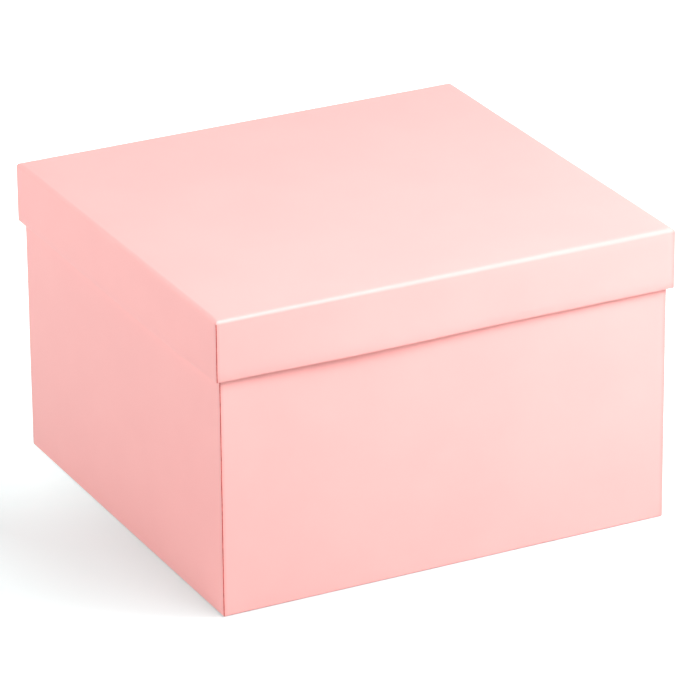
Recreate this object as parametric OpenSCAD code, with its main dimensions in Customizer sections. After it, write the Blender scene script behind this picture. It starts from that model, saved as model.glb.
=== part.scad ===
// Flower box: a rigid set-up box with a lift-off lid.
//
// The base and the lid are made in the same way. A tray of grey board is cut
// from one blank with a notch at each corner, scored, and folded up. Its corners
// butt together and are held by stays of paper tape. One sheet of wrapping
// paper goes round the tray: it covers the panel and the two short walls first,
// its ears turn round the corners on to the long walls, the long walls' paper
// goes over the ears with its cut edges at the corners, and what stands above
// the rim turns in. Lining papers then cover the board inside.
//
// Millimetres, +Z up. The origin is at the middle of the underside.

/* [Base] */
// Width of the base over its paper, left to right
base_w = 300; // [180:1:420]
// Depth of the base over its paper, front to back
base_d = 280; // [160:1:400]
// Height of the base, from its underside to its rim
base_h = 190; // [90:1:300]
// Radius of the base's folded bottom edges, over the paper
base_fold_r = 1.2; // [0.8:0.1:2]
// How far the wrap turns in over the base's rim
base_turn_in = 18; // [12:1:30]

/* [Lid] */
// Depth of the lid, from its top to its open edge
lid_h = 39; // [30:1:80]
// Radius of the lid's folded top edges, over the paper
lid_fold_r = 3; // [0.8:0.1:3.2]
// How far the wrap turns in over the lid's open edge
lid_turn_in = 15; // [12:1:20]
// Clearance between the lid's inside and the base, on each side
slide_gap = 0.7; // [0.5:0.05:1.5]

/* [Board and papers] */
// Thickness of the grey board
board_t = 2; // [1.8:0.1:3]
// Thickness of the wrapping paper
wrap_t = 0.2; // [0.15:0.01:0.3]
// Thickness of the lining paper
lining_t = 0.15; // [0.1:0.01:0.25]
// Thickness of the stay tape
stay_t = 0.15; // [0.1:0.01:0.25]

/* [Corners and rims] */
// Length of each leg of a corner stay, round the corner
stay_leg = 14; // [10:1:25]
// Distance from a stay's ends to the rim and to the folded edge
stay_margin = 2.5; // [2:0.5:6]
// Gap between the ends of two board walls that butt at a corner
butt_gap = 0.1; // [0.05:0.05:0.3]
// Radius of the board's cut corners
board_corner_r = 0.3; // [0.2:0.05:0.5]
// How far the long walls' paper stops short of the corner
seam_w = 0.6; // [0.4:0.1:1.5]
// Radius of the paper where it turns over a rim
rim_r = 0.5; // [0.3:0.1:0.7]
// Width of the mitred slit between two turn-ins
mitre_gap = 0.3; // [0.2:0.1:1]
// Strip of wrap that shows between a rim and the lining's edge
lining_reveal = 6; // [4:1:8]
// Gap between the floor lining and the wall lining
lining_gap = 0.3; // [0.2:0.1:1]

/* [Hidden] */
$fn = 48;

// From the outside of the paper to the board: one sheet over the stay on the
// short walls, and two on the long walls, where the panel lies on the ears.
skin_x = wrap_t + stay_t;
skin_y = 2 * wrap_t + stay_t;
// From the board's inside to the face of the lining that lies on a turn-in
inside_skin = wrap_t + lining_t;
// How much wider than the base the lid is, on one side
lid_over_x = slide_gap + inside_skin + board_t + skin_x;
lid_over_y = slide_gap + inside_skin + board_t + skin_y;
lid_w = base_w + 2 * lid_over_x;
lid_d = base_d + 2 * lid_over_y;
// The lining under the lid's top lies on the base's rim.
total_h = base_h + wrap_t + board_t + lining_t;
// Upper face of a tray's board panel, which lies on the wrap
board_top = wrap_t + board_t;
// Outer radii of a stay and of an ear, round the board's corner
stay_r = board_corner_r + stay_t;
ear_r = stay_r + wrap_t;
// How far a cutter runs past what it cuts
past = 1;

paper_pink = "lightpink";
board_grey = "darkgray";
lining_white = "whitesmoke";
tape_brown = "burlywood";

// ---------- sections and plans ----------

// What a round of radius r takes off a square corner at the origin
module corner_off(r) {
    difference() {
        square(r);
        translate([r, r]) circle(r);
    }
}

// A w by h section that stands on y = 0, with its lower and upper corners rounded
module section(w, h, low_r, top_r) {
    difference() {
        translate([-w / 2, 0]) square([w, h]);
        for (side = [0, 1]) mirror([side, 0]) {
            if (low_r > 0) translate([-w / 2, 0]) corner_off(low_r);
            if (top_r > 0) translate([-w / 2, h]) mirror([0, 1]) corner_off(top_r);
        }
    }
}

// The section of an opening w wide, whose edges at y = 0 are rounded off by r.
// It reaches down by depth, and a little above 0.
module mouth_section(w, depth, r) {
    translate([-w / 2, -depth]) square([w, depth]);
    translate([-w / 2 - r, 0]) square([w + 2 * r, past]);
    for (side = [0, 1]) mirror([side, 0])
        translate([-w / 2 - r, -r]) difference() {
            square(r);
            circle(r);
        }
}

// A rectangle about the origin with round corners
module round_plan(w, d, r) {
    translate([0, -d / 2]) section(w, d, r, r);
}

// Run a section, drawn as across and up, along Y or along X
module run_along_y(length) {
    rotate([90, 0, 0]) linear_extrude(length, center = true) children();
}

module run_along_x(length) {
    rotate([90, 0, 90]) linear_extrude(length, center = true) children();
}

// An upright block centred on the Z axis
module block(w, d, h) {
    translate([-w / 2, -d / 2, 0]) cube([w, d, h]);
}

// A band round the inside of a w by d space
module band(w, d, t, low_z, high_z) {
    translate([0, 0, low_z]) difference() {
        block(w, d, high_z - low_z);
        translate([0, 0, -past]) block(w - 2 * t, d - 2 * t, high_z - low_z + 2 * past);
    }
}

// The plan given as a child, raised to h, with its low edges rolled and its
// top edges turned, each as one straight round
module rolled_block(w, d, h, low_r, top_r) {
    intersection() {
        linear_extrude(h) children();
        run_along_y(d + 2 * past) section(w, h, low_r, top_r);
        run_along_x(w + 2 * past) section(d, h, low_r, top_r);
    }
}

// The slit at one upright corner where the end of a short wall, of thickness t,
// butts against a long wall. clear_w and clear_d are measured between the walls.
module butt_slit(clear_w, clear_d, t, gap, low_z, h, sx, sy) {
    translate([sx * (clear_w + t) / 2, sy * (clear_d - gap) / 2, low_z])
        block(t + 2 * past, gap, h);
}

// ---------- one tray, closed below and open above ----------
// w, d and h are its sizes over the paper.

function board_w(w) = w - 2 * skin_x;
function board_d(d) = d - 2 * skin_y;
function inner_w(w) = board_w(w) - 2 * board_t;
function inner_d(d) = board_d(d) - 2 * board_t;

// Everything inside the outer faces of the folded board
module board_envelope(w, d, h, fold_r) {
    translate([0, 0, wrap_t])
        rolled_block(board_w(w), board_d(d), h - 2 * wrap_t, fold_r - wrap_t, 0)
            round_plan(board_w(w), board_d(d), board_corner_r);
}

// The folded tray: four walls on one panel, slit at the upright corners
module tray_board(w, d, h, fold_r) {
    difference() {
        board_envelope(w, d, h, fold_r);
        translate([0, 0, board_top]) block(inner_w(w), inner_d(d), h);
        for (sx = [-1, 1], sy = [-1, 1])
            butt_slit(inner_w(w), inner_d(d), board_t, butt_gap, board_top, h, sx, sy);
    }
}

// A strip of tape folded round one upright corner of the board
module tray_stay(w, d, h, fold_r, sx, sy) {
    low_z = fold_r + stay_margin;
    high_z = h - wrap_t - stay_margin;
    mirror([sx > 0 ? 1 : 0, 0, 0]) mirror([0, sy > 0 ? 1 : 0, 0])
        translate([-board_w(w) / 2 - stay_t, -board_d(d) / 2 - stay_t, low_z])
            linear_extrude(high_z - low_z) difference() {
                square(stay_leg + stay_t);
                corner_off(stay_r);
                translate([stay_t, stay_t]) difference() {
                    square(stay_leg);
                    corner_off(board_corner_r);
                }
            }
}

// The outside of the wrap. The long walls' paper stands proud of the ears
// below it, and stops short of the corners.
module wrap_envelope(w, d, h, fold_r) {
    rolled_block(w, d, h, fold_r, rim_r) {
        round_plan(w, d - 2 * wrap_t, ear_r);
        square([w - 2 * seam_w, d], center = true);
    }
}

// The space between the four turn-ins, with the rim's inner edges rounded off
module mouth(w, d, h, turn_in) {
    clear_w = inner_w(w) - 2 * wrap_t;
    clear_d = inner_d(d) - 2 * wrap_t;
    translate([0, 0, h]) intersection() {
        run_along_y(d) mouth_section(clear_w, turn_in + past, rim_r);
        run_along_x(w) mouth_section(clear_d, turn_in + past, rim_r);
    }
}

// The slit between two turn-ins, from the mouth to the board's outer corner
module mitre_slit(w, d, h, turn_in, sx, sy) {
    slit_l = sqrt(2) * (board_t + wrap_t + past);
    translate([sx * board_w(w) / 2, sy * board_d(d) / 2, h - turn_in - past])
        rotate(atan2(-sy, -sx))
            translate([0, -mitre_gap / 2, 0]) cube([slit_l, mitre_gap, turn_in + 2 * past]);
}

// The folded sheet: panel, walls, rim and turn-ins
module tray_wrap(w, d, h, fold_r, turn_in) {
    difference() {
        union() {
            difference() {
                wrap_envelope(w, d, h, fold_r);
                board_envelope(w, d, h, fold_r);
                for (sx = [-1, 1], sy = [-1, 1]) tray_stay(w, d, h, fold_r, sx, sy);
            }
            translate([0, 0, h - turn_in])
                block(inner_w(w), inner_d(d), turn_in - wrap_t / 2);
        }
        mouth(w, d, h, turn_in);
        for (sx = [-1, 1], sy = [-1, 1]) mitre_slit(w, d, h, turn_in, sx, sy);
    }
}

// Lining on the inside of the walls. It steps over the turn-ins' lower edge.
module wall_lining(w, d, h, turn_in, low_z) {
    lap_z = h - turn_in;
    band(inner_w(w), inner_d(d), lining_t, low_z, lap_z);
    band(inner_w(w), inner_d(d), inside_skin, lap_z - lining_t, lap_z);
    band(inner_w(w) - 2 * wrap_t, inner_d(d) - 2 * wrap_t, lining_t,
        lap_z - lining_t, h - lining_reveal);
}

module lining_slit(w, d, h, low_z, sx, sy) {
    butt_slit(inner_w(w) - 2 * inside_skin, inner_d(d) - 2 * inside_skin,
        inside_skin, butt_gap, low_z, h, sx, sy);
}

// ---------- the base ----------

module base_board() {
    color(board_grey) tray_board(base_w, base_d, base_h, base_fold_r);
}

module base_wrap() {
    color(paper_pink) tray_wrap(base_w, base_d, base_h, base_fold_r, base_turn_in);
}

// One strip goes round the four walls, and its ends meet at the back left corner.
module base_wall_lining() {
    color(lining_white) difference() {
        wall_lining(base_w, base_d, base_h, base_turn_in, board_top);
        lining_slit(base_w, base_d, base_h, board_top, -1, 1);
    }
}

module base_floor_lining() {
    edge = 2 * (lining_t + lining_gap);
    color(lining_white) translate([0, 0, board_top])
        block(inner_w(base_w) - edge, inner_d(base_d) - edge, lining_t);
}

module base_stay(sx, sy) {
    color(tape_brown) tray_stay(base_w, base_d, base_h, base_fold_r, sx, sy);
}

// ---------- the lid: a shallow tray, turned over ----------

module turned_over() {
    translate([0, 0, total_h]) mirror([0, 0, 1]) children();
}

module lid_board() {
    color(board_grey) turned_over() tray_board(lid_w, lid_d, lid_h, lid_fold_r);
}

module lid_wrap() {
    color(paper_pink) turned_over() tray_wrap(lid_w, lid_d, lid_h, lid_fold_r, lid_turn_in);
}

// One sheet with four notched corners lines the panel and the walls.
module lid_lining() {
    color(lining_white) turned_over() difference() {
        union() {
            translate([0, 0, board_top]) block(inner_w(lid_w), inner_d(lid_d), lining_t);
            wall_lining(lid_w, lid_d, lid_h, lid_turn_in, board_top);
        }
        for (sx = [-1, 1], sy = [-1, 1])
            lining_slit(lid_w, lid_d, lid_h, board_top + lining_t, sx, sy);
    }
}

module lid_stay(sx, sy) {
    color(tape_brown) turned_over() tray_stay(lid_w, lid_d, lid_h, lid_fold_r, sx, sy);
}

base_board();
base_wrap();
base_wall_lining();
base_floor_lining();
base_stay(-1, -1);  // base_stay_front_left
base_stay(1, -1);  // base_stay_front_right
base_stay(1, 1);  // base_stay_back_right
base_stay(-1, 1);  // base_stay_back_left
lid_board();
lid_wrap();
lid_lining();
lid_stay(-1, -1);  // lid_stay_front_left
lid_stay(1, -1);  // lid_stay_front_right
lid_stay(1, 1);  // lid_stay_back_right
lid_stay(-1, 1);  // lid_stay_back_left
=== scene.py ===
# %% [markdown]
# # A flower box in pearl pink paper
#
# The object is a rigid "set-up" box: a tray of grey board for the base, a
# shallower one for the lid, and one sheet of smooth coated paper folded round
# each. The boards, the corner stays and the lining papers come with the frame,
# in the right shape. This lesson models the two folded sheets, gives every
# piece its finish, and sets up the floor, the light and the camera.

# %% Load the frame
import math

import bpy
from mathutils import Matrix, Vector


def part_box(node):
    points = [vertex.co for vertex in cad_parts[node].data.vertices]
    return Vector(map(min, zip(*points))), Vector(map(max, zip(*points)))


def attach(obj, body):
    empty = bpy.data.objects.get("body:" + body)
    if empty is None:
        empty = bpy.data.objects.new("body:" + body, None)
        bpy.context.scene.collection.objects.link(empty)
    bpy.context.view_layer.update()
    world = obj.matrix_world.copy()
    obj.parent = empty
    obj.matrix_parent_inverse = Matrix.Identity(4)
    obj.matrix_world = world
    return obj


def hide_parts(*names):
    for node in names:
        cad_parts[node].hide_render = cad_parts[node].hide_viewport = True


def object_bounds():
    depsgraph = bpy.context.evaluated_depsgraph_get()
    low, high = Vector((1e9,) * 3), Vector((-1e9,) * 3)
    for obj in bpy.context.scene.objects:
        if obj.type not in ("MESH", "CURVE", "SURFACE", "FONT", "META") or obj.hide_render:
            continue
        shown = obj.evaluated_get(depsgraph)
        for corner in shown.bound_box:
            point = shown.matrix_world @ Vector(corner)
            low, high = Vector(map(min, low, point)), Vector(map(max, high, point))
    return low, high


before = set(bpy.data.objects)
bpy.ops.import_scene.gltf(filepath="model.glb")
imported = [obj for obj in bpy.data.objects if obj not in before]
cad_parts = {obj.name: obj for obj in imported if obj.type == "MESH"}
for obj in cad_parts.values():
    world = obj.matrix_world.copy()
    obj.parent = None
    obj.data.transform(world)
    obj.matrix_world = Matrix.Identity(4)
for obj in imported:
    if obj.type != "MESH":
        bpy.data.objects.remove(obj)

cad_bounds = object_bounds()
MM = 0.001
print("nodes:", sorted(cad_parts))

# %% [markdown]
# ## Sizes
#
# Every size comes from the frame where it can. A wrap's own box gives the
# outside of the paper, and the box of the lining is the space between the
# board's walls. Only what a box cannot tell, such as the radius of a fold, is
# written here. One function gives the sizes of both trays, because the base and
# the lid are made in the same way.

# %% Sizes of the two trays
PAPER = 0.2 * MM  # thickness of the sheet
SEAM = 0.6 * MM  # how far the long walls' paper stops short of a corner
EAR_ROUND = 0.9 * MM  # the ears' soft fold round an upright corner
RIM_ROUND = 0.5 * MM  # the turn over the board's cut edge
TINY = 0.01 * MM  # tolerance when a face or an edge is picked by its place


def tray_sizes(wrap, lining, fold_round, turn_in):
    """The outside and the mouth of one tray, in metres."""
    low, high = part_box(wrap)
    inner_low, inner_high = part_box(lining)
    return {
        "w": high.x - low.x,
        "d": high.y - low.y,
        "h": high.z - low.z,
        "mouth_w": inner_high.x - inner_low.x - 2 * PAPER,
        "mouth_d": inner_high.y - inner_low.y - 2 * PAPER,
        "fold": fold_round * MM,
        "turn_in": turn_in * MM,
    }


BASE = tray_sizes("base_wrap", "base_wall_lining", fold_round=1.2, turn_in=18)
LID = tray_sizes("lid_wrap", "lid_lining", fold_round=3.0, turn_in=15)
total_height = cad_bounds[1][2]
for name, tray in (("base", BASE), ("lid", LID)):
    print(name, {key: round(value / MM, 2) for key, value in tray.items()}, "mm")

# %% [markdown]
# ## Picking faces and edges
#
# An operator in edit mode acts on all that is selected. By hand you would click
# the faces; in a script each step selects them by their place instead. `pick`
# takes a test on an element's corners, selects what passes, and leaves the piece
# in edit mode, ready for the operator.

# %% Selecting by place
def near(a, b):
    return abs(a - b) < TINY


def pick(piece, kind, test):
    """Select the faces or edges whose corners pass the test."""
    if bpy.context.mode != "OBJECT":
        bpy.ops.object.mode_set(mode="OBJECT")
    bpy.ops.object.select_all(action="DESELECT")
    piece.select_set(True)
    bpy.context.view_layer.objects.active = piece
    bpy.ops.object.mode_set(mode="EDIT")
    bpy.ops.mesh.select_mode(type=kind)
    bpy.ops.mesh.select_all(action="DESELECT")
    bpy.ops.object.mode_set(mode="OBJECT")
    mesh = piece.data
    for element in mesh.polygons if kind == "FACE" else mesh.edges:
        element.select = test([mesh.vertices[i].co for i in element.vertices])
    bpy.ops.object.mode_set(mode="EDIT")


def new_block(name, low, high):
    """A box between two corners, alone in the selection."""
    bpy.ops.object.select_all(action="DESELECT")
    size = [b - a for a, b in zip(low, high)]
    middle = [(a + b) / 2 for a, b in zip(low, high)]
    bpy.ops.mesh.primitive_cube_add(size=1, location=middle, scale=size)
    block = bpy.context.active_object
    block.name = block.data.name = name
    bpy.ops.object.transform_apply(location=True, rotation=True, scale=True)
    return block


def apply_modifiers(piece):
    bpy.ops.object.select_all(action="DESELECT")
    piece.select_set(True)
    bpy.context.view_layer.objects.active = piece
    for modifier in list(piece.modifiers):
        bpy.ops.object.modifier_apply(modifier=modifier.name)


def cut_away(piece, cutters):
    """Take the cutters' volume off a closed piece."""
    for cutter in cutters:
        boolean = piece.modifiers.new("cut", "BOOLEAN")
        boolean.operation = "DIFFERENCE"
        boolean.solver = "EXACT"
        boolean.object = cutter
        apply_modifiers(piece)
        bpy.data.objects.remove(cutter)


# %% [markdown]
# ## The folded sheet: a block with soft folds
#
# On the real box one flat sheet is pasted round the tray. It could be modelled
# flat and folded up by bones, but all its folds end at right angles, so it is
# quicker to start from the box that it makes. A block gets a pocket for the
# mouth, and its folded edges are beveled. Board that is scored and folded never
# has a sharp edge, so the rolls catch the light: they are what tells this box
# from a plain cuboid.

# %% The block, its mouth and its rolls
FOLD_SEGMENTS = 10
RIM_SEGMENTS = 4
EAR_SEGMENTS = 5


def folded_block(name, tray):
    half_w, half_d, h = tray["w"] / 2, tray["d"] / 2, tray["h"]
    block = new_block(name, (-half_w, -half_d, 0), (half_w, half_d, h))
    pick(block, "FACE", lambda corners: all(near(c.z, h) for c in corners))
    bpy.ops.mesh.extrude_region_move()
    to_mouth = (tray["mouth_w"] / tray["w"], tray["mouth_d"] / tray["d"], 1)
    bpy.ops.transform.resize(value=to_mouth, center_override=(0, 0, h))
    bpy.ops.mesh.extrude_region_move(
        TRANSFORM_OT_translate={"value": (0, 0, -tray["turn_in"])}
    )
    pick(block, "EDGE", lambda corners: all(near(c.z, 0) for c in corners))
    bpy.ops.mesh.bevel(offset=tray["fold"], segments=FOLD_SEGMENTS, affect="EDGES")

    def on_rim(corners):
        a, b = corners
        straight = near(a.x, b.x) or near(a.y, b.y)
        return near(a.z, h) and near(b.z, h) and straight

    pick(block, "EDGE", on_rim)
    bpy.ops.mesh.bevel(offset=RIM_ROUND, segments=RIM_SEGMENTS, affect="EDGES")
    bpy.ops.object.mode_set(mode="OBJECT")
    return block


# %% [markdown]
# ## The upright corners
#
# The sheet covers the short walls first, and its ears turn round the corners.
# The paper of the long walls then goes over the ears and is trimmed just short of the
# corner, so a narrow strip of ear shows beside a cut edge. Painted shade on that strip
# draws the thin dark line down the left-hand corners. Slim posts cut that strip one paper's
# thickness deep, and thin blades slit the mitres between the turn-ins.

# %% Cutters for the seams and the mitres
BLADE = 0.25 * MM  # width of a mitred slit
BLADE_LENGTH = 3 * MM
BLADE_START = 0.3 * MM  # how far inside the mouth's corner a slit begins
CUT_CLEAR = MM  # how far every cutter stands out of the sheet


def seam_posts(tray):
    posts = []
    for sx in (-1, 1):
        for sy in (-1, 1):
            xs = sorted(sx * (tray["w"] / 2 + step) for step in (-SEAM, CUT_CLEAR))
            ys = sorted(sy * (tray["d"] / 2 + step) for step in (-PAPER, CUT_CLEAR))
            low = (xs[0], ys[0], -CUT_CLEAR)
            high = (xs[1], ys[1], tray["h"] + CUT_CLEAR)
            posts.append(new_block("post", low, high))
    return posts


def mitre_blades(tray):
    blades = []
    depth = tray["turn_in"] + 2 * CUT_CLEAR
    for sx in (-1, 1):
        for sy in (-1, 1):
            blade = new_block("blade", (0, -BLADE / 2, 0), (BLADE_LENGTH, BLADE / 2, depth))
            blade.rotation_euler.z = math.atan2(sy, sx)
            x = sx * (tray["mouth_w"] / 2 - BLADE_START)
            y = sy * (tray["mouth_d"] / 2 - BLADE_START)
            blade.location = (x, y, tray["h"] - tray["turn_in"] - CUT_CLEAR)
            bpy.ops.object.transform_apply(location=True, rotation=True, scale=True)
            blades.append(blade)
    return blades


# %% [markdown]
# ## Paper is never quite flat
#
# Pasted paper and board stay a little uneven, and a flat face has no points to
# show it. Loop cuts would be the tool by hand. Here Bisect, with nothing cleared,
# draws the same net of cuts. Displace then moves the outer skin by a soft cloud
# texture: about two tenths of a millimetre, and mostly outwards, so that the
# board stays under its paper. It is far too little to see as a shape, but it
# breaks up the even tone of a computer's flat face.

# %% A net of cuts over the whole sheet
NET = 7 * MM


def bisect_net(sheet, tray):
    for axis, (low, high) in enumerate(
        ((-tray["w"] / 2, tray["w"] / 2), (-tray["d"] / 2, tray["d"] / 2), (0, tray["h"]))
    ):
        count = round((high - low) / NET)
        for step in range(1, count):
            place = [0.0, 0.0, 0.0]
            normal = [0.0, 0.0, 0.0]
            place[axis] = low + (high - low) * step / count
            normal[axis] = 1.0
            bpy.ops.mesh.select_all(action="SELECT")
            bpy.ops.mesh.bisect(plane_co=place, plane_no=normal)


# %% Moving a part of the skin
def displace_skin(sheet, weigh, amount, direction="NORMAL", texture=None, middle=0.0):
    """Displace the points by amount, each by the weight that weigh gives it."""
    group = sheet.vertex_groups.new(name="moved")
    for vertex in sheet.data.vertices:
        group.add([vertex.index], max(0.0, min(1.0, weigh(vertex.co))), "REPLACE")
    displace = sheet.modifiers.new("displace", "DISPLACE")
    displace.vertex_group = group.name
    displace.direction = direction
    displace.strength = amount
    displace.mid_level = middle
    if texture:
        displace.texture = texture
        displace.texture_coords = "LOCAL"
    apply_modifiers(sheet)
    sheet.vertex_groups.clear()


# %% Cockle of the outer skin
COCKLE = 0.22 * MM  # from the deepest hollow to the highest crest
COCKLE_SIZE = 42 * MM
COCKLE_MIDDLE = 0.35  # share of it that goes inwards
SKIN_DEPTH = 5 * MM  # what lies deeper than this isn't outer skin
RIM_FLAT = 1 * MM  # a strip at the rim that stays flat
RIM_FADE = 6 * MM  # the cockle grows from nothing over this height
FOOT_FADE = 4 * MM  # and fades out over this one, where the base stands
clouds = bpy.data.textures.new("cockle", "CLOUDS")
clouds.noise_scale = COCKLE_SIZE


def cockle(sheet, tray, stands):
    """Uneven skin, but not at the rim, on the turn-ins or under the box."""

    def weigh(place):
        inside = (
            abs(place.x) < tray["w"] / 2 - SKIN_DEPTH
            and abs(place.y) < tray["d"] / 2 - SKIN_DEPTH
        )
        if inside and (place.z > tray["fold"] or stands):
            return 0.0
        rim = (tray["h"] - RIM_FLAT - place.z) / RIM_FADE
        return min(rim, place.z / FOOT_FADE) if stands else rim

    displace_skin(sheet, weigh, COCKLE, texture=clouds, middle=COCKLE_MIDDLE)


# %% The whole folding
def fold_sheet(name, tray, materials, stands):
    sheet = folded_block(name, tray)
    cut_away(sheet, seam_posts(tray))
    half_w, half_d = tray["w"] / 2, tray["d"] / 2

    def ear_corner(corners):
        a, b = corners
        upright = not near(a.z, b.z)
        return upright and all(
            near(abs(c.x), half_w) and near(abs(c.y), half_d - PAPER) for c in corners
        )

    pick(sheet, "EDGE", ear_corner)
    bpy.ops.mesh.bevel(offset=EAR_ROUND, segments=EAR_SEGMENTS, affect="EDGES")
    bisect_net(sheet, tray)
    pocket = tray["h"] - tray["turn_in"]
    inner_w = tray["mouth_w"] / 2 + TINY
    pick(
        sheet,
        "FACE",
        lambda corners: all(near(c.z, pocket) and abs(c.x) < inner_w for c in corners),
    )
    bpy.ops.mesh.delete(type="FACE")
    bpy.ops.object.mode_set(mode="OBJECT")
    for material in materials:
        sheet.data.materials.append(material)

    def in_seam(corners):
        return all(
            abs(c.x) > half_w - SEAM - TINY
            and half_d - PAPER - TINY < abs(c.y) < half_d + TINY
            for c in corners
        )

    pick(sheet, "FACE", in_seam)
    sheet.active_material_index = 1
    bpy.ops.object.material_slot_assign()
    bpy.ops.object.mode_set(mode="OBJECT")
    cockle(sheet, tray, stands)
    return sheet


SMOOTH_UP_TO = math.radians(35)  # sharper turns than this keep a hard edge


def give_thickness(sheet, tray):
    solidify = sheet.modifiers.new("paper", "SOLIDIFY")
    solidify.thickness = PAPER
    solidify.offset = -1
    solidify.use_even_offset = True
    apply_modifiers(sheet)
    cut_away(sheet, mitre_blades(tray))
    bpy.ops.object.select_all(action="DESELECT")
    sheet.select_set(True)
    bpy.context.view_layer.objects.active = sheet
    bpy.ops.object.shade_smooth_by_angle(angle=SMOOTH_UP_TO)


# %% [markdown]
# ## The finish of the paper
#
# The wrap is a smooth coated paper with a pearl lustre: soft pink, brighter where a fold
# turns to the light, with no grain that shows at arm's length. A plain pink with one
# roughness would look like plastic, so the colour drifts a little over the sheet, fine
# fibres stir the coating, and the folds are rubbed paler. Beside each upright corner the
# colour is darkened by painted shade.
# All of it reads Object coordinates, because the sheets were never unfolded onto
# a UV map and a slow noise doesn't need one.

# %% Small helpers for materials
def new_material(name):
    material = bpy.data.materials.new(name)
    material.use_nodes = True
    tree = material.node_tree
    return material, tree, tree.nodes["Principled BSDF"]


def feed(tree, value, socket):
    """Put a number or another node's output into a socket."""
    if isinstance(value, (int, float, tuple)):
        socket.default_value = value
    else:
        tree.links.new(value, socket)


def calculate(tree, operation, *values):
    node = tree.nodes.new("ShaderNodeMath")
    node.operation = operation
    for value, socket in zip(values, node.inputs):
        feed(tree, value, socket)
    return node.outputs[0]


def ramp(tree, value, low, high, out_low=0.0, out_high=1.0):
    """Stretch a value's range to another, with an eased start and end."""
    node = tree.nodes.new("ShaderNodeMapRange")
    node.interpolation_type = "SMOOTHSTEP"
    for number, socket in zip((low, high, out_low, out_high), node.inputs[1:5]):
        socket.default_value = number
    tree.links.new(value, node.inputs[0])
    return node.outputs[0]


def blend_colours(tree, share, first, second, mode="MIX"):
    node = tree.nodes.new("ShaderNodeMix")
    node.data_type = "RGBA"
    node.blend_type = mode
    feed(tree, share, node.inputs[0])
    feed(tree, first, node.inputs[6])
    feed(tree, second, node.inputs[7])
    return node.outputs[2]


# %% Noise at a size given in millimetres
def place_on_object(tree):
    return tree.nodes.new("ShaderNodeTexCoord").outputs["Object"]


def noise(tree, place, size, detail=2.0, stretch=(1, 1, 1)):
    """Noise with features of about this size; stretch makes it streaky."""
    mapping = tree.nodes.new("ShaderNodeMapping")
    mapping.inputs["Scale"].default_value = [1 / size / s for s in stretch]
    node = tree.nodes.new("ShaderNodeTexNoise")
    node.inputs["Scale"].default_value = 1.0
    node.inputs["Detail"].default_value = detail
    tree.links.new(place, mapping.inputs["Vector"])
    tree.links.new(mapping.outputs[0], node.inputs["Vector"])
    return node.outputs["Fac"]


def bump(tree, height, depth, shader):
    node = tree.nodes.new("ShaderNodeBump")
    node.inputs["Distance"].default_value = depth
    tree.links.new(height, node.inputs["Height"])
    tree.links.new(node.outputs[0], shader.inputs["Normal"])


# %% Where a sheet is folded
def fold_distances(tree, place, low, high):
    """How far a point is from the nearest edge of a box, and from a corner line."""
    split = tree.nodes.new("ShaderNodeSeparateXYZ")
    tree.links.new(place, split.inputs[0])
    x, y, z = split.outputs
    from_x = calculate(tree, "SUBTRACT", high.x, calculate(tree, "ABSOLUTE", x))
    from_y = calculate(tree, "SUBTRACT", high.y, calculate(tree, "ABSOLUTE", y))
    from_low = calculate(tree, "SUBTRACT", z, low.z)
    from_high = calculate(tree, "SUBTRACT", high.z, z)
    from_z = calculate(tree, "MINIMUM", from_low, from_high)
    nearer = calculate(tree, "MINIMUM", from_x, from_y)
    farther = calculate(tree, "MAXIMUM", from_x, from_y)
    capped = calculate(tree, "MINIMUM", farther, from_z)
    to_edge = calculate(tree, "MAXIMUM", nearer, capped)
    return to_edge, farther


# %% Pearl paper
PAPER_COLOUR = (0.98, 0.468, 0.447, 1)
DEEPER = (0.965, 0.455, 0.436, 1)
RUBBED = (0.99, 0.60, 0.58, 1)
CORNER_SHADE = (0.80, 0.66, 0.65, 1)  # painted shade beside each upright corner
PEARL_ROUGHNESS = 0.34
ROUGHNESS_DRIFT = 0.03
PEARL_IOR = 1.6
DRIFT_SIZE = 45 * MM
PATCH_SIZE = 4 * MM  # size of the rubbed patches
FIBRE_SIZE = 0.5 * MM
FIBRE_DEPTH = 0.002 * MM


def pearl_paper(node):
    material, tree, shader = new_material("pearl_paper_" + node)
    place = place_on_object(tree)
    low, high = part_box(node)
    to_edge, to_corner = fold_distances(tree, place, low, high)
    drift = ramp(tree, noise(tree, place, DRIFT_SIZE), 0.3, 0.7)
    fibre = noise(tree, place, FIBRE_SIZE, detail=3)
    colour = blend_colours(tree, drift, PAPER_COLOUR, DEEPER)
    # Painted shade: the paper darkens within 3 mm of each upright corner, on both walls.
    corner_shade = ramp(tree, to_corner, 0.4 * MM, 3 * MM, 0.45, 0)
    colour = blend_colours(tree, corner_shade, colour, CORNER_SHADE, mode="MULTIPLY")
    patchy = ramp(tree, noise(tree, place, PATCH_SIZE, detail=4), 0.42, 0.72)
    near_fold = ramp(tree, to_edge, 0.2 * MM, 1.4 * MM, 0.5, 0)
    rubbed = calculate(tree, "MULTIPLY", near_fold, patchy)
    colour = blend_colours(tree, rubbed, colour, RUBBED)
    tree.links.new(colour, shader.inputs["Base Color"])
    smoothest = PEARL_ROUGHNESS - ROUGHNESS_DRIFT
    roughest = PEARL_ROUGHNESS + ROUGHNESS_DRIFT
    satin = ramp(tree, fibre, 0.3, 0.7, smoothest, roughest)
    worn_satin = calculate(tree, "MULTIPLY_ADD", rubbed, 0.12, satin)
    tree.links.new(worn_satin, shader.inputs["Roughness"])
    shader.inputs["IOR"].default_value = PEARL_IOR
    bump(tree, fibre, FIBRE_DEPTH, shader)
    return material


# %% The line of cut paper beside a corner, darkened by painted shade
# Painted shade for the seam strip, and its lit tone at the right-hand corners.
SEAM_SHADE = (0.72, 0.13, 0.11, 1)
SEAM_SHADE_DEEPER = (0.50, 0.07, 0.06, 1)
SEAM_LIT = (0.93, 0.42, 0.405, 1)


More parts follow.
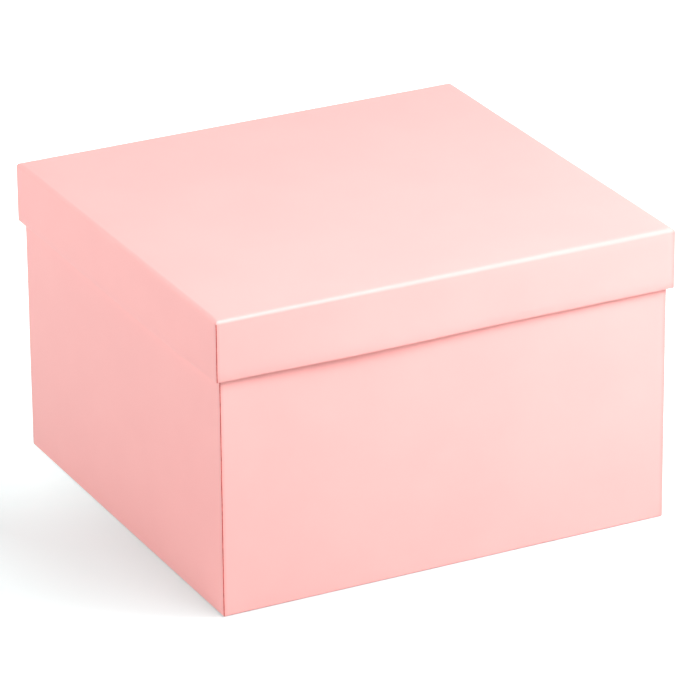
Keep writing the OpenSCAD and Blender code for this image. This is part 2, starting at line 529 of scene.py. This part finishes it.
def cut_edge():
    """Painted shade at the left-hand corners, away from the lamps; the paper's lit tone at
    the right-hand ones.
    """
    material, tree, shader = new_material("cut_edge_painted_shade")
    place = place_on_object(tree)
    uneven = ramp(tree, noise(tree, place, 6 * MM, detail=4), 0.35, 0.65)
    shaded = blend_colours(tree, uneven, SEAM_SHADE, SEAM_SHADE_DEEPER)
    split = tree.nodes.new("ShaderNodeSeparateXYZ")
    tree.links.new(place, split.inputs[0])
    # Left of the middle the seam gets painted shade, right of it the lit tone.
    facing_lamps = ramp(tree, split.outputs["X"], -0.05, 0.05)
    colour = blend_colours(tree, facing_lamps, shaded, SEAM_LIT)
    tree.links.new(colour, shader.inputs["Base Color"])
    tree.links.new(ramp(tree, uneven, 0, 1, 0.55, 0.75), shader.inputs["Roughness"])
    bump(tree, uneven, 0.02 * MM, shader)
    return material


# %% Fold both sheets
seam = cut_edge()
base_paper = fold_sheet("base_paper", BASE, (pearl_paper("base_wrap"), seam), True)
lid_paper = fold_sheet("lid_paper", LID, (pearl_paper("lid_wrap"), seam), False)

# %% [markdown]
# ## The skirt bows, the top is crowned
#
# A tray of board pulls its walls outwards as the paste dries, and the lid's long
# skirts show it: they stand off the base between their corners, so the gap below
# them is deeper there and holds more shade. The top swells a little too, which
# widens the bright line along its front fold. Proportional editing would do both
# by hand. Here each point's weight comes from its place.

# %% Bow the skirts and crown the top
# The lid is still upside down here, so its front wall is the one at +Y.
FRONT_BOW = 1.75 * MM
FRONT_SPAN = (-0.058, 0.095, 0.110)  # the crest, and the reach before and after it
SIDE_BOW = 1.3 * MM
SIDE_SPAN = (0.085, 0.220, 0.058)
SKIRT_CURVE = 1.5  # more than 1: the skirt flares most near its lower edge
CROWN = 0.3 * MM
CROWN_RISE = 14 * MM  # how far in from the folds the top is fully raised
WALL_DEPTH = 1 * MM  # points this near to a wall's face move with it


def swell(along, crest, before, after):
    """From 0 to 1 and back along a wall, with its crest at one place."""
    reach = min(1.0, abs(along - crest) / (before if along < crest else after))
    return (math.cos(math.pi * reach) + 1) / 2


def down_the_skirt(place):
    below_fold = (place.z - LID["fold"]) / (LID["h"] - LID["fold"])
    return max(0.0, below_fold) ** SKIRT_CURVE


def front_weight(place):
    outside = place.y > LID["d"] / 2 - WALL_DEPTH
    return outside * swell(place.x, *FRONT_SPAN) * down_the_skirt(place)


def side_weight(place):
    outside = place.x < WALL_DEPTH - LID["w"] / 2
    return outside * swell(place.y, *SIDE_SPAN) * down_the_skirt(place)


def top_weight(place):
    from_x = LID["w"] / 2 - abs(place.x)
    from_y = LID["d"] / 2 - abs(place.y)
    rise = max(0.0, min(1.0, min(from_x, from_y) / CROWN_RISE))
    on_top = place.z < LID["fold"]
    return on_top * math.sin(rise * math.pi / 2) ** 2


displace_skin(lid_paper, front_weight, FRONT_BOW, direction="Y")
displace_skin(lid_paper, side_weight, -SIDE_BOW, direction="X")
displace_skin(lid_paper, top_weight, -CROWN, direction="Z")
print("the skirt bows by", FRONT_BOW / MM, "mm in front and", SIDE_BOW / MM, "at the left")

# %% Thickness, and turn the lid over
give_thickness(base_paper, BASE)
give_thickness(lid_paper, LID)
bpy.ops.object.select_all(action="DESELECT")
lid_paper.select_set(True)
bpy.context.view_layer.objects.active = lid_paper
lid_paper.rotation_euler.x = math.pi
lid_paper.location.z = total_height
bpy.ops.object.transform_apply(location=True, rotation=True, scale=True)
for sheet in (base_paper, lid_paper):
    print(sheet.name, len(sheet.data.polygons), "faces")

# %% What each piece stands for
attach(base_paper, "base")
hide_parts("base_wrap")
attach(lid_paper, "lid")
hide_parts("lid_wrap")

# %% [markdown]
# ## Board, lining and tape
#
# The boards, the linings and the corner stays keep the shape they have in the
# frame and only get their finish. Grey board is pressed from waste paper, so it
# is full of dark and pale flecks. The lining is a plain uncoated white paper.
# The stays are brown gummed tape, whose long fibres lie across the corner. Most
# of this shows only when the lid is off, and some of it never does.

# %% Grey board
BOARD_COLOUR = (0.233, 0.223, 0.205, 1)
BOARD_PALE = (0.42, 0.40, 0.37, 1)
BOARD_DARK = (0.085, 0.08, 0.075, 1)


def grey_board():
    material, tree, shader = new_material("grey_board")
    place = place_on_object(tree)
    pale = ramp(tree, noise(tree, place, 1.6 * MM, detail=3), 0.56, 0.68)
    dark = ramp(tree, noise(tree, place, 0.9 * MM, 2, (1, 1, 0.4)), 0.62, 0.7)
    colour = blend_colours(tree, pale, BOARD_COLOUR, BOARD_PALE)
    colour = blend_colours(tree, dark, colour, BOARD_DARK)
    tree.links.new(colour, shader.inputs["Base Color"])
    tree.links.new(ramp(tree, pale, 0, 1, 0.88, 0.97), shader.inputs["Roughness"])
    bump(tree, noise(tree, place, 0.5 * MM, detail=4), 0.05 * MM, shader)
    return material


# %% White lining paper
LINING_COLOUR = (0.847, 0.828, 0.787, 1)
LINING_SHADE = (0.79, 0.77, 0.725, 1)


def lining_paper():
    material, tree, shader = new_material("lining_paper")
    place = place_on_object(tree)
    cloudy = ramp(tree, noise(tree, place, 9 * MM, detail=5), 0.3, 0.7)
    fibre = noise(tree, place, 0.45 * MM, 4, (2.5, 1, 1))
    colour = blend_colours(tree, cloudy, LINING_COLOUR, LINING_SHADE)
    tree.links.new(colour, shader.inputs["Base Color"])
    tree.links.new(ramp(tree, fibre, 0.3, 0.7, 0.78, 0.92), shader.inputs["Roughness"])
    bump(tree, fibre, 0.03 * MM, shader)
    return material


# %% Gummed kraft tape
TAPE_COLOUR = (0.434, 0.274, 0.133, 1)
TAPE_DARK = (0.31, 0.18, 0.08, 1)


def stay_tape():
    material, tree, shader = new_material("kraft_stay_tape")
    place = place_on_object(tree)
    streaks = ramp(tree, noise(tree, place, 0.8 * MM, 4, (6, 6, 1)), 0.35, 0.7)
    colour = blend_colours(tree, streaks, TAPE_COLOUR, TAPE_DARK)
    tree.links.new(colour, shader.inputs["Base Color"])
    tree.links.new(ramp(tree, streaks, 0, 1, 0.55, 0.75), shader.inputs["Roughness"])
    bump(tree, streaks, 0.02 * MM, shader)
    return material


# %% Give each node in the frame its finish
board, lining, tape = grey_board(), lining_paper(), stay_tape()
for name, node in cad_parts.items():
    if "wrap" in name:
        continue
    finish = board if "board" in name else tape if "stay" in name else lining
    for material_slot in node.material_slots:
        material_slot.material = finish
    print(name, "is", finish.name)

# %% [markdown]
# ## The floor
#
# A white floor that only reflects light would come out grey away from the lamps, and it
# would throw so much light back up that the gap under the lid lost its shade. So the floor
# is a mid-grey card, which the box can shade, with a glow of its own added that only the
# camera and gloss can see. Gloss picks up less than half of it, or the walls would pale
# where they mirror the floor. The glow grows towards the back and with the distance from
# the box, so the shadow beside it fades and the floor that the lamps reach is plain white.
# Close to the box the glow is dimmed, and this is painted shade: it darkens the shadow
# towards the box. Beyond the lamps' reach the glow is on its own, and its blue-green shows
# as a pale tint in a low view.

# %% A white floor that keeps the shadow
FLOOR_COLOUR = (0.53, 0.5, 0.5, 1)
GLOW_COLOUR = (0.75, 1, 1, 1)  # takes the paper's pink out; tints the far floor
# The glow is dimmest in front of and close to the box: painted shade that darkens the
# shadow there.
NEAR_GLOW = 0.37  # the floor's own brightness in front of the box
BEHIND = (-0.10, 0.13)  # metres along the line of view in which the glow grows
AROUND = (0.19, 0.42)  # metres from the box's middle in which it grows
GLOSS_GLOW = 0.45  # the share of the glow that gloss picks up
VIEW_LINE = (0.452, 0.892, 0)  # level direction away from the camera
FLOOR_SIZE = 12
FLOOR_DROP = 0.1 * MM  # keeps the floor from flickering with the box's underside


def seen_directly(tree):
    """1 for camera, gloss and glass rays, 0 for light that reaches a surface."""
    rays = tree.nodes.new("ShaderNodeLightPath").outputs
    seen = calculate(tree, "MAXIMUM", rays["Is Camera Ray"], rays["Is Glossy Ray"])
    return calculate(tree, "MAXIMUM", seen, rays["Is Transmission Ray"])


def white_floor():
    material, tree, shader = new_material("white_floor")
    tree.nodes.remove(shader)
    card = tree.nodes.new("ShaderNodeBsdfDiffuse")
    card.inputs["Color"].default_value = FLOOR_COLOUR
    place = place_on_object(tree)
    away = tree.nodes.new("ShaderNodeVectorMath")
    away.operation = "DOT_PRODUCT"
    away.inputs[1].default_value = VIEW_LINE
    tree.links.new(place, away.inputs[0])
    behind = ramp(tree, away.outputs["Value"], *BEHIND, NEAR_GLOW, 1.0)
    reach = tree.nodes.new("ShaderNodeVectorMath")
    reach.operation = "LENGTH"
    tree.links.new(place, reach.inputs[0])
    around = ramp(tree, reach.outputs["Value"], *AROUND, NEAR_GLOW, 1.0)
    own = calculate(tree, "MAXIMUM", behind, around)
    glow = tree.nodes.new("ShaderNodeEmission")
    glow.inputs["Color"].default_value = GLOW_COLOUR
    in_gloss = tree.nodes.new("ShaderNodeLightPath").outputs["Is Glossy Ray"]
    dimmed = calculate(tree, "MULTIPLY_ADD", in_gloss, GLOSS_GLOW - 1, 1.0)
    seen = calculate(tree, "MULTIPLY", dimmed, seen_directly(tree))
    shown = calculate(tree, "MULTIPLY", own, seen)
    tree.links.new(shown, glow.inputs["Strength"])
    both = tree.nodes.new("ShaderNodeAddShader")
    tree.links.new(card.outputs[0], both.inputs[0])
    tree.links.new(glow.outputs[0], both.inputs[1])
    tree.links.new(both.outputs[0], tree.nodes["Material Output"].inputs["Surface"])
    return material


bpy.ops.object.select_all(action="DESELECT")
bpy.ops.mesh.primitive_plane_add(size=FLOOR_SIZE, location=(0, 0, -FLOOR_DROP))
floor = bpy.context.active_object
floor.name = "floor"
floor.data.materials.append(white_floor())

# %% [markdown]
# ## Light
#
# Soft boxes from the right and the front light the front panel, a small one
# draws the bright line along the lid's front fold, one overhead evens out the
# top, and weaker ones on the left and behind keep the other sides open. The world
# is plain white to the camera and in gloss, and gives next to no light of its
# own, because light from all round would wash out the shade under the lid.

# %% Light
world = bpy.data.worlds.new("studio")
bpy.context.scene.world = world
world.use_nodes = True
FILL = 0.02  # the world's strength as a lamp; to the eye and in gloss it is 1


def white_world():
    tree = world.node_tree
    background = tree.nodes["Background"]
    background.inputs["Color"].default_value = (1, 1, 1, 1)
    strength = calculate(tree, "MULTIPLY_ADD", seen_directly(tree), 1 - FILL, FILL)
    tree.links.new(strength, background.inputs["Strength"])


white_world()


# %% Soft boxes
CENTRE = (0, 0, 0.12)
LID_TOP = (0, 0, 0.19)
LAMP_DISTANCE = 1.3
SOFTBOX = (0.6, 0.6)  # width and height of most of them


def softbox(name, place, target, size, power):
    light = bpy.data.lights.new(name, "AREA")
    light.shape = "RECTANGLE"
    light.size, light.size_y = size
    light.energy = power
    lamp = bpy.data.objects.new(name, light)
    bpy.context.scene.collection.objects.link(lamp)
    lamp.location = place
    aim = Vector(place) - Vector(target)
    lamp.rotation_euler = aim.to_track_quat("Z", "Y").to_euler()
    return lamp


def round_the_box(name, azimuth, elevation, size, power):
    """A soft box aimed at the middle; azimuth in degrees from +X towards +Y."""
    a, e = math.radians(azimuth), math.radians(elevation)
    level = LAMP_DISTANCE * math.cos(e)
    height = CENTRE[2] + LAMP_DISTANCE * math.sin(e)
    place = (level * math.cos(a), level * math.sin(a), height)
    return softbox(name, place, CENTRE, size, power)


round_the_box("front_left", 275, 50, SOFTBOX, 10.2)
softbox("fold_line", (0.38, -0.55, 1.2), LID_TOP, (0.4, 0.4), 1.6)
softbox("overhead", (-0.2, 0.25, 1.4), LID_TOP, (0.5, 0.5), 2.9)

# %% Soft boxes that gloss doesn't show
# Seen from across the box, they would lie as white sheets on the lid's top.
around = (
    round_the_box("front_right", 320, 32, SOFTBOX, 9.3),
    round_the_box("right_low", 330, 19, SOFTBOX, 11.3),
    round_the_box("left", 200, 20, (0.8, 0.8), 5.5),
    round_the_box("back_left", 150, 10, SOFTBOX, 6.8),
    round_the_box("back", 90, 8, (0.6, 0.5), 7.0),
)
for lamp in around:
    lamp.visible_glossy = False

# %% [markdown]
# ## Camera
#
# A long lens from three metres away keeps the box's upright edges upright. The
# camera's place is worked out from its angles round the box, as on a turntable:
# back points from the box to the camera, and right and up span the picture.

# %% Camera
AZIMUTH, ELEVATION, ROLL = -26.867, 23.389, -0.434
DISTANCE = 3.1019
SLIDE = (0.0054, -0.0012)  # to the right and up
AIM = Vector((0, 0, 0.09))
FOCAL_PIXELS, FRAME_PIXELS, SENSOR = 4998.7, 700, 36.0


def studio_camera():
    a, e, r = (math.radians(v) for v in (AZIMUTH, ELEVATION, ROLL))
    back = Vector((math.sin(a) * math.cos(e), -math.cos(a) * math.cos(e), math.sin(e)))
    level = (-back).cross(Vector((0, 0, 1))).normalized()
    upright = level.cross(-back)
    right = level * math.cos(r) + upright * math.sin(r)
    up = -level * math.sin(r) + upright * math.cos(r)
    place = AIM + back * DISTANCE + right * SLIDE[0] + up * SLIDE[1]
    data = bpy.data.cameras.new("camera")
    data.sensor_width = SENSOR
    data.lens = FOCAL_PIXELS / FRAME_PIXELS * SENSOR
    camera = bpy.data.objects.new("camera", data)
    bpy.context.scene.collection.objects.link(camera)
    turn = Matrix((right, up, back)).transposed().to_4x4()
    camera.matrix_world = Matrix.Translation(place) @ turn
    bpy.context.scene.camera = camera


studio_camera()
bpy.context.scene.view_settings.view_transform = "Standard"
